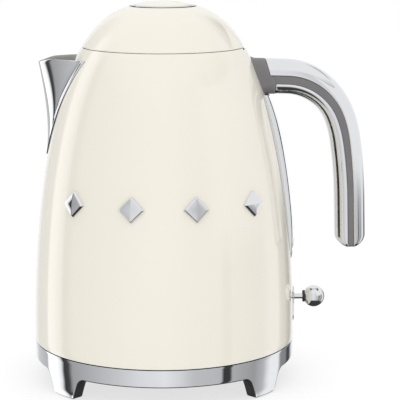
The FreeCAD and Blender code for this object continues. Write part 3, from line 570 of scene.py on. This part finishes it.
beak = Shape()
loops = []
for half_outer, half_inner in spout_rows():
    outer, inner = (side + [(x, -y, z) for x, y, z in reversed(side[:-1])]
                    for side in (half_outer, half_inner))
    loops.append(outer + inner[::-1])
across = len(loops[0]) // 2
ids = beak.grid(loops, wrap_col=True, tint=lambda i, j: int(across <= j < 2 * across - 1))
for row, flip in ((ids[0], True), (ids[-1], False)):
    for j in range(across - 1):
        quad = (row[j], row[j + 1], row[2 * across - 2 - j], row[2 * across - 1 - j])
        beak.face(reversed(quad) if flip else quad)
piece(beak, "spout_beak", "jug", [CHROME, SATIN_CHROME], ["spout"], sharp=40)


# ---------------------------------------------------------------- handle

def grip_station(s):
    x, z, heading = HANDLE_START
    for length, turn in HANDLE_RUNS:
        run = min(s, length)
        bend = turn * run / length
        middle = math.radians(heading - bend / 2)
        chord = run if not bend else \
            run * math.sin(math.radians(bend / 2)) / math.radians(bend / 2)
        x += chord * math.cos(middle)
        z += chord * math.sin(middle)
        heading -= bend
        s -= run
        if s <= 0:
            break
    return x, z, math.radians(heading)


def grip_point(s, out, y):
    x, z, heading = grip_station(s)
    return (x - out * math.sin(heading), y, z + out * math.cos(heading))


def end_reach(s, full, radius=END_R):
    """How far the grip reaches from its middle line near its rounded lower end."""
    left = GRIP_LENGTH - s
    if left >= radius:
        return full
    drop = radius - math.sqrt(max(radius ** 2 - (radius - left) ** 2, 0.0))
    return full - drop


def stations(start, count=64):
    body_rows = [start + (GRIP_LENGTH - END_R - start) * i / count for i in range(count)]
    return body_rows + [GRIP_LENGTH - END_R * (1 - math.sin(math.pi / 2 * i / 12)) for i in range(13)]


def grip_outward(s):
    return GRIP_OUTWARD_TOP + (GRIP_OUTWARD_LEG - GRIP_OUTWARD_TOP) * smoothstep(20.0, 65.0, s)


def strip_half(s):
    """Half thickness of the grey strip, which gets thinner down the leg."""
    return SHELL_FLAT - 0.75 * smoothstep(25.0, 110.0, s)


def root_slant(share):
    """The outer shell's upper end leans with the jug's wall; share is 0 at the strip, 1 at the crest."""
    return 1.2 - 3.0 * share


def half_shell(sign, start, crest, slant=lambda share: 0.0):
    """One chrome half of the grip: a half ellipse on a flat side, ends rounded."""
    shape = Shape()
    loops = []
    for i, s in enumerate([start, start + 0.15, start + 0.5] + stations(start + 1.2)):
        shrink = (0.5, 0.15, 0.0)[i] if i < 3 else 0.0
        reach = end_reach(s, crest(s)) - shrink
        width = end_reach(s, HALF_W, 3.0) - shrink
        flat = strip_half(s)
        lean = max(0.0, 1 - (s - start) / 12)
        loop = []
        for k in range(25):
            a = math.pi * k / 24
            rise = math.sin(a) ** 0.92
            loop.append(grip_point(s + lean * slant(rise), sign * (flat + (reach - flat) * rise),
                                   width * math.cos(a)))
        # the two corners next to the grey core are rolled inwards
        foot_s = s + lean * slant(0.0)
        loop[0] = grip_point(foot_s, sign * (flat + 0.45), width)
        loop[-1] = grip_point(foot_s, sign * (flat + 0.45), -width)
        loop = [grip_point(foot_s, sign * flat, width - 0.45)] + loop \
            + [grip_point(foot_s, sign * flat, -width + 0.45)]
        loops.append(loop)
    shape.tube(loops)
    return shape


piece(half_shell(1, OUTER_SHELL_S, grip_outward, root_slant), "grip_outer", "jug", CHROME,
      ["handle_outer_shell"], sharp=40)
piece(half_shell(-1, INNER_SHELL_S, lambda s: GRIP_INWARD), "grip_inner", "jug", CHROME,
      ["handle_inner_shell"], sharp=40)


def wall_start(out, y):
    """The distance along the grip where it meets the jug."""
    s = 0.0
    for _ in range(30):
        x, _y, z = grip_point(s, out, y)
        s += math.sqrt(outline_r(z) ** 2 - y * y) - x
    return s


core = Shape()
strip_w = HALF_W - 0.4
section = softened([(-strip_w, -CORE_HALF), (strip_w, -CORE_HALF), (strip_w, CORE_HALF),
                    (-strip_w, CORE_HALF)], 0.5, 3)
strip_rows = []
for s in [0.0] + stations(16.0, 60):
    pinch = end_reach(s, strip_w, 3.0) / strip_w
    row = []
    for y, out in section:
        here = max(s, wall_start(out, y)) if s < 16 else s
        row.append(grip_point(here, out * strip_half(s) / SHELL_FLAT, y * pinch))
    strip_rows.append(row)
core.tube(strip_rows)
root_loop = []
for k in range(64):
    a = 2 * math.pi * k / 64
    crest = GRIP_OUTWARD_TOP if math.sin(a) > 0 else GRIP_INWARD
    flat = SHELL_FLAT if math.sin(a) > 0 else -SHELL_FLAT
    out = flat + (math.copysign(crest, math.sin(a)) - flat) * abs(math.sin(a)) ** 0.92 \
        if abs(math.sin(a)) > 1e-6 else 0.0
    root_loop.append((out, HALF_W * math.cos(a)))
root_rows = []
for t, grow in ((0.0, 0.8), (0.06, 0.75), (0.14, 0.25), (0.25, 0.0), (0.6, 0.0), (0.97, 0.0), (1.0, -0.4)):
    row = []
    for out, y in root_loop:
        scale = 1 + grow / math.hypot(out, y)
        out_here, y_here = out * scale, y * scale
        end = INNER_SHELL_S - 0.05
        if out > 0:
            share = (out - SHELL_FLAT) / (GRIP_OUTWARD_TOP - SHELL_FLAT)
            end = OUTER_SHELL_S - 0.05 + root_slant(min(max(share, 0.0), 1.0))
        start = wall_start(out_here, y_here)
        row.append(grip_point(start + (end - start) * t, out_here, y_here))
    root_rows.append(row)
core.tube(root_rows)
piece(core, "grip_core", "jug", GREY, ["handle_core"], sharp=40)


# ---------------------------------------------------------------- water gauge

def gauge_strip(name, low_share, high_share, half_w, corner, material, stands_for):
    """A slotted layer of the gauge, between two shares of its height over the jug's wall."""
    shape = Shape()
    loops = []
    first, last = GAUGE_CREST[0][0], GAUGE_CREST[-1][0]
    count = 60
    for i in range(count + 1):
        z = first + (last - first) * i / count
        wall = outline_r(z) - 0.6
        height = spline_at(GAUGE_CREST, z) - wall
        end = min(i, count - i)
        low = wall + height * low_share
        high = wall + height * high_share
        width = half_w * (1.0 if end > 1 else (0.9, 0.975)[end])
        polygon = [(low, -width), (high, -width), (high, width), (low, width)]
        loops.append([(x, y, z) for x, y in softened(polygon, [0, corner, corner, 0], 5)])
    shape.tube(loops)
    piece(shape, name, "jug", material, stands_for, sharp=40, cutters=[box_cutter(*GAUGE_SLOT)])


gauge_strip("gauge_frame", -0.1, 0.6, GAUGE_HALF_W, 0.3, CHROME, ["gauge_bezel"])
gauge_strip("gauge_seal", 0.6, 0.7, GAUGE_HALF_W - 0.5, 0.1, RUBBER, ["gauge_gasket"])


# ---------------------------------------------------------------- base

def arch_edge(gap):
    """Lower edge of the skirt from the middle of an arch to the middle of a foot, as
    (degrees, height)."""
    top = BODY_R * math.tan(math.radians(gap - FOOT_TOP_HALF))
    ground = BODY_R * math.tan(math.radians(gap - FOOT_GROUND_HALF))
    end = BODY_R * math.tan(math.radians(gap))
    line = softened([(0.0, BAND_LOW), (top, BAND_LOW), (ground, FOOT_LOW), (end, FOOT_LOW)],
                    [0, 7.5, 2.2, 0], 9, closed=False)
    out = []
    for a, b in zip(line, line[1:]):
        count = max(1, round(math.dist(a, b) / 1.6))
        out += [blend(a, b, i / count) for i in range(count)]
    out.append(line[-1])
    return [(math.degrees(math.atan2(y, BODY_R)), z) for y, z in out]


def skirt_columns():
    side, front = arch_edge(FOOT_ANGLE), arch_edge(90.0 - FOOT_ANGLE)
    quarter = side + [(90.0 - a, z) for a, z in reversed(front[:-1])]
    half = quarter + [(180.0 - a, z) for a, z in reversed(quarter[:-1])]
    return half + [(360.0 - a, z) for a, z in reversed(half[1:-1])]


def flare_r(z):
    """Outside radius of the skirt: upright band, then feet that draw in towards the ground."""
    return min(spline_at(FLARE, z), BODY_R)


skirt = Shape()
skirt_rows = []
for angle, low in skirt_columns():
    roll = 0.9
    upper = [(BODY_R - BAND_WALL, BAND_TOP), (BODY_R - 0.45, BAND_TOP), (BODY_R - 0.1, BAND_TOP - 0.15),
             (BODY_R, BAND_TOP - 0.5)]
    down = [(flare_r(z), z) for z in (low + roll + (BAND_TOP - 0.5 - low - roll) * (1 - i / 12)
                                      for i in range(1, 13))]
    edge_r = flare_r(low + roll)
    bottom = [(edge_r - 0.08, low + 0.5), (edge_r - 0.35, low + 0.15), (edge_r - 0.9, low)]
    inner_r = FOOT_INNER_R if low < FOOT_INNER_TOP_Z else BODY_R - BAND_WALL
    step_z = max(low, FOOT_INNER_TOP_Z)
    inside = [(inner_r, low), (inner_r, step_z), (BODY_R - BAND_WALL, step_z)]
    c, s = math.cos(math.radians(angle)), math.sin(math.radians(angle))
    skirt_rows.append([(r * c, r * s, z) for r, z in upper + down + bottom + inside])
first_dark = 4 + 12 + 2      # the columns of the top edge, the outside and its rolled lower edge
skirt.grid(skirt_rows, wrap_row=True, wrap_col=True, tint=lambda i, j: int(j >= first_dark))
inlet = Shape()
inlet.tube([[(INLET_R * math.cos(math.pi * i / 20), y, INLET_Z + INLET_R * math.sin(math.pi * i / 20))
             for i in range(40)] for y in (70, 95)])
piece(skirt, "base_band", "power_base", [CHROME, BLACK], ["base_skirt"], sharp=38,
      cutters=[make(inlet, "cutter")])


# The bottom cover, with its lower edge chamfered so that it stays out of sight behind the band
underside = Shape()
cover_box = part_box("base_bottom_cover")
cover_low, cover_high = cover_box[0][2] / MM, cover_box[1][2] / MM
cover_r = cover_box[1][1] / MM
underside.turned([(0.0, cover_low), (cover_r - 7.0, cover_low), (cover_r - 6.2, cover_low + 0.1),
                  (cover_r - 0.3, cover_high - 0.3), (cover_r, cover_high), (0.0, cover_high)], 120)
piece(underside, "base_underside", "power_base", BLACK, ["base_bottom_cover"], sharp=40)


# ---------------------------------------------------------------- lever and its plate

ball = Shape()
profile = [(KNOB_R * math.sin(math.pi * i / 40), KNOB_X - KNOB_R * math.cos(math.pi * i / 40))
           for i in range(41)]
ball.turned(profile + [(0.0, KNOB_X)], 64, (0, LEVER_Z), "x")
piece(ball, "lever_ball", "start_lever", CHROME, ["lever_knob"], sharp=60)
collar = Shape()
collar.turned(softened([(1.85, 91.9), (3.9, 91.9), (3.9, 94.6), (1.85, 94.6)], [0, 0.6, 0.3, 0], 4), 48,
              (0, LEVER_Z), "x")
piece(collar, "lever_collar", "start_lever", BLACK)


def on_wall(y, z, proud):
    return (math.sqrt((BODY_R + proud) ** 2 - y * y), y, z)


def stadium(half_w, half_h, count=10):
    loop = []
    for side in (1, -1):
        for i in range(count + 1):
            a = (0 if side == 1 else math.pi) + math.pi * i / count
            loop.append((half_w * math.cos(a), side * (half_h - half_w) + half_w * math.sin(a)))
    return loop


plate = Shape()
outer_loop = stadium(5.4, 11.9)
inner_loop = stadium(2.6, 7.0)
plate_rows = []
for k, proud in ((0.0, 0.02), (0.0, 0.35), (0.1, 0.6), (0.25, 0.7), (0.9, 0.7), (1.0, 0.6), (1.0, 0.02)):
    row = []
    for (y0, z0), (y1, z1) in zip(outer_loop, inner_loop):
        y, z = y0 + (y1 - y0) * k, z0 + (z1 + 0.6 - z0) * k
        row.append(on_wall(y, PLATE_Z + z, proud))
    plate_rows.append(row)
plate.grid(plate_rows, wrap_row=True, wrap_col=True)
piece(plate, "lever_plate", "jug", CHROME, ["lever_slot_plate"], sharp=45)


# ---------------------------------------------------------------- badge studs

studs = Shape()
lean = math.atan(-outline_slope(STUD_Z))
for angle in STUD_ANGLES:
    turn = math.radians(angle)
    radial = Vector((math.cos(turn), math.sin(turn), 0))
    sideways = Vector((-math.sin(turn), math.cos(turn), 0))
    normal = radial * math.cos(lean) + Vector((0, 0, math.sin(lean)))
    upward = Vector((0, 0, math.cos(lean))) - radial * math.sin(lean)
    centre = radial * outline_r(STUD_Z) + Vector((0, 0, STUD_Z))
    rows = []
    for size, height in STUD_RINGS:
        corners = softened([(size, 0), (0, size), (-size, 0), (0, -size)], min(0.9, size * 0.2), 4)
        rows.append([tuple(centre + sideways * u + upward * v + normal * height) for u, v in corners])
    studs.tube(rows)
piece(studs, "badge_diamonds", "jug", CHROME, ["badge_studs"], sharp=24)


# ---------------------------------------------------------------- studio

FLOOR_REACH = 12.0
FLOOR_GREY = 0.30
FLOOR_GLOW = 0.72

floor_mesh = bpy.data.meshes.new("floor")
floor_mesh.from_pydata(
    [(x * FLOOR_REACH, y * FLOOR_REACH, 0) for x, y in ((-1, -1), (1, -1), (1, 1), (-1, 1))],
    [], [(0, 1, 2, 3)])
floor = bpy.data.objects.new("floor", floor_mesh)
scene.collection.objects.link(floor)
floor_material = bpy.data.materials.new("studio_floor")
floor_material.use_nodes = True
floor_nodes = Nodes(floor_material.node_tree)
floor_shader = floor_nodes.add(
    "ShaderNodeBsdfPrincipled", Base_Color=(FLOOR_GREY, FLOOR_GREY, FLOOR_GREY, 1), Roughness=0.9,
    Specular_IOR_Level=0.1, Emission_Color=(1, 1, 1, 1), Emission_Strength=FLOOR_GLOW)
floor_nodes.add("ShaderNodeOutputMaterial", Surface=floor_shader.outputs[0])
floor.data.materials.append(floor_material)
floor.visible_glossy = False

# The room that the chrome reflects: brightness by compass direction, in degrees from the
# camera's side, round through the handle's side, with soft light from above
ROOM = ((-180, 0.95), (-158, 0.95), (-150, 0.68), (-127, 0.55), (-124, 1.5), (-114, 1.5), (-104, 0.95),
        (-100, 0.05), (-94, 0.07), (-89, 0.40), (-50, 0.62), (-24, 0.82), (0, 0.92), (12, 0.80),
        (26, 0.62), (51, 0.56), (53, 0.05), (60, 0.05), (62, 0.50), (86, 0.38), (98, 0.55), (104, 0.85),
        (108, 1.0), (121, 1.0), (126, 0.30), (138, 0.26), (141, 0.07), (149, 0.10), (153, 0.55),
        (160, 0.95), (180, 0.95))
ROOM_ABOVE = 0.95
ROOM_BELOW = 0.05

world = bpy.data.worlds.new("studio")
scene.world = world
world.use_nodes = True
w = Nodes(world.node_tree)
toward = w.add("ShaderNodeSeparateXYZ", Vector=w.add("ShaderNodeTexCoord").outputs["Generated"]).outputs
bearing = w.math("ARCTAN2", toward[0], w.math("MULTIPLY", toward[1], -1.0))
ramp = w.add("ShaderNodeValToRGB", Fac=w.math("ADD", w.math("MULTIPLY", bearing, 1 / (2 * math.pi)), 0.5))
stops = ramp.color_ramp.elements
for angle, _level in ROOM[1:-1]:
    stops.new(angle / 360 + 0.5)
for stop, (angle, level) in zip(stops, ROOM):
    stop.position = angle / 360 + 0.5
    stop.color = (level, level, level * 1.01, 1)
room = w.mix(w.remap(toward[2], 0.45, 0.75, smooth=True), ramp.outputs[0], (ROOM_ABOVE,) * 3 + (1,))
room = w.mix(w.remap(toward[2], -0.72, -0.5, smooth=True), (ROOM_BELOW,) * 3 + (1,), room)
background = w.add("ShaderNodeBackground", Color=room, Strength=1.0)
w.add("ShaderNodeOutputWorld", Surface=background.outputs[0])


def softbox(name, location, target, size, power):
    light = bpy.data.lights.new(name, "AREA")
    light.shape = "RECTANGLE"
    light.size, light.size_y = size
    light.energy = power
    obj = bpy.data.objects.new(name, light)
    scene.collection.objects.link(obj)
    obj.location = location
    obj.rotation_euler = (Vector(target) - Vector(location)).to_track_quat("-Z", "Y").to_euler()
    obj.visible_glossy = False


def reflector(name, centre, radius, bearings, heights, strength):
    """A curved white card beside the object that only reflections see, fading out at its edges."""
    (first, last), (low, high) = bearings, heights
    side_fade, low_fade = 18, 0.07
    across, up = 48, 16
    verts, fade = [], []
    for i in range(across + 1):
        bearing = first + (last - first) * i / across
        turn = math.radians(bearing)
        for j in range(up + 1):
            z = low + (high - low) * j / up
            verts.append((centre[0] + radius * math.sin(turn), centre[1] - radius * math.cos(turn), z))
            fade.append(smoothstep(first, first + side_fade, bearing)
                        * smoothstep(last, last - side_fade, bearing) * smoothstep(low, low + low_fade, z))
    step = up + 1
    faces = [(k, k + step, k + step + 1, k + 1)
             for i in range(across) for k in range(i * step, i * step + up)]
    mesh = bpy.data.meshes.new(name)
    mesh.from_pydata(verts, [], faces)
    mesh.attributes.new("fade", "FLOAT", "POINT").data.foreach_set("value", fade)
    obj = bpy.data.objects.new(name, mesh)
    scene.collection.objects.link(obj)
    material = bpy.data.materials.new(name)
    material.use_nodes = True
    n = Nodes(material.node_tree)
    card = n.add("ShaderNodeEmission", Color=(1, 1, 1, 1), Strength=strength).outputs[0]
    clear = n.add("ShaderNodeBsdfTransparent").outputs[0]
    share = n.add("ShaderNodeAttribute", {"attribute_name": "fade"}).outputs["Fac"]
    mixed = n.add("ShaderNodeMixShader", i0=share, i1=clear, i2=card).outputs[0]
    n.add("ShaderNodeOutputMaterial", Surface=mixed)
    mesh.materials.append(material)
    obj.visible_camera = obj.visible_diffuse = obj.visible_shadow = obj.visible_transmission = False


reflector("card_right", (0.066, 0.0), 0.26, (15, 172), (0.06, 0.36), 0.95)
softbox("key_left", (-1.4, -1.8, 1.5), (0, 0, 0.12), (1.8, 1.8), 7)
softbox("fill_right", (1.6, -1.6, 1.2), (0, 0, 0.12), (1.8, 1.8), 7)
softbox("top", (0, 0.4, 2.2), (0, 0, 0.1), (2.4, 2.4), 6)

# The camera that was fitted to the photo's outline: its distance, height and tilt
CAMERA_DISTANCE = 1.0554
CAMERA_HEIGHT = 0.3166
CAMERA_PITCH = 10.695
CAMERA_YAW = -1.29

lens = bpy.data.cameras.new("camera")
lens.lens = 147.0
lens.sensor_width = 36.0
lens.clip_start, lens.clip_end = 0.05, 60
camera = bpy.data.objects.new("camera", lens)
scene.collection.objects.link(camera)
scene.camera = camera
camera.location = (AXIS_X * MM, -CAMERA_DISTANCE, CAMERA_HEIGHT)
camera.rotation_euler = (math.radians(90 - CAMERA_PITCH), 0, math.radians(CAMERA_YAW))

scene.view_settings.view_transform = "Standard"
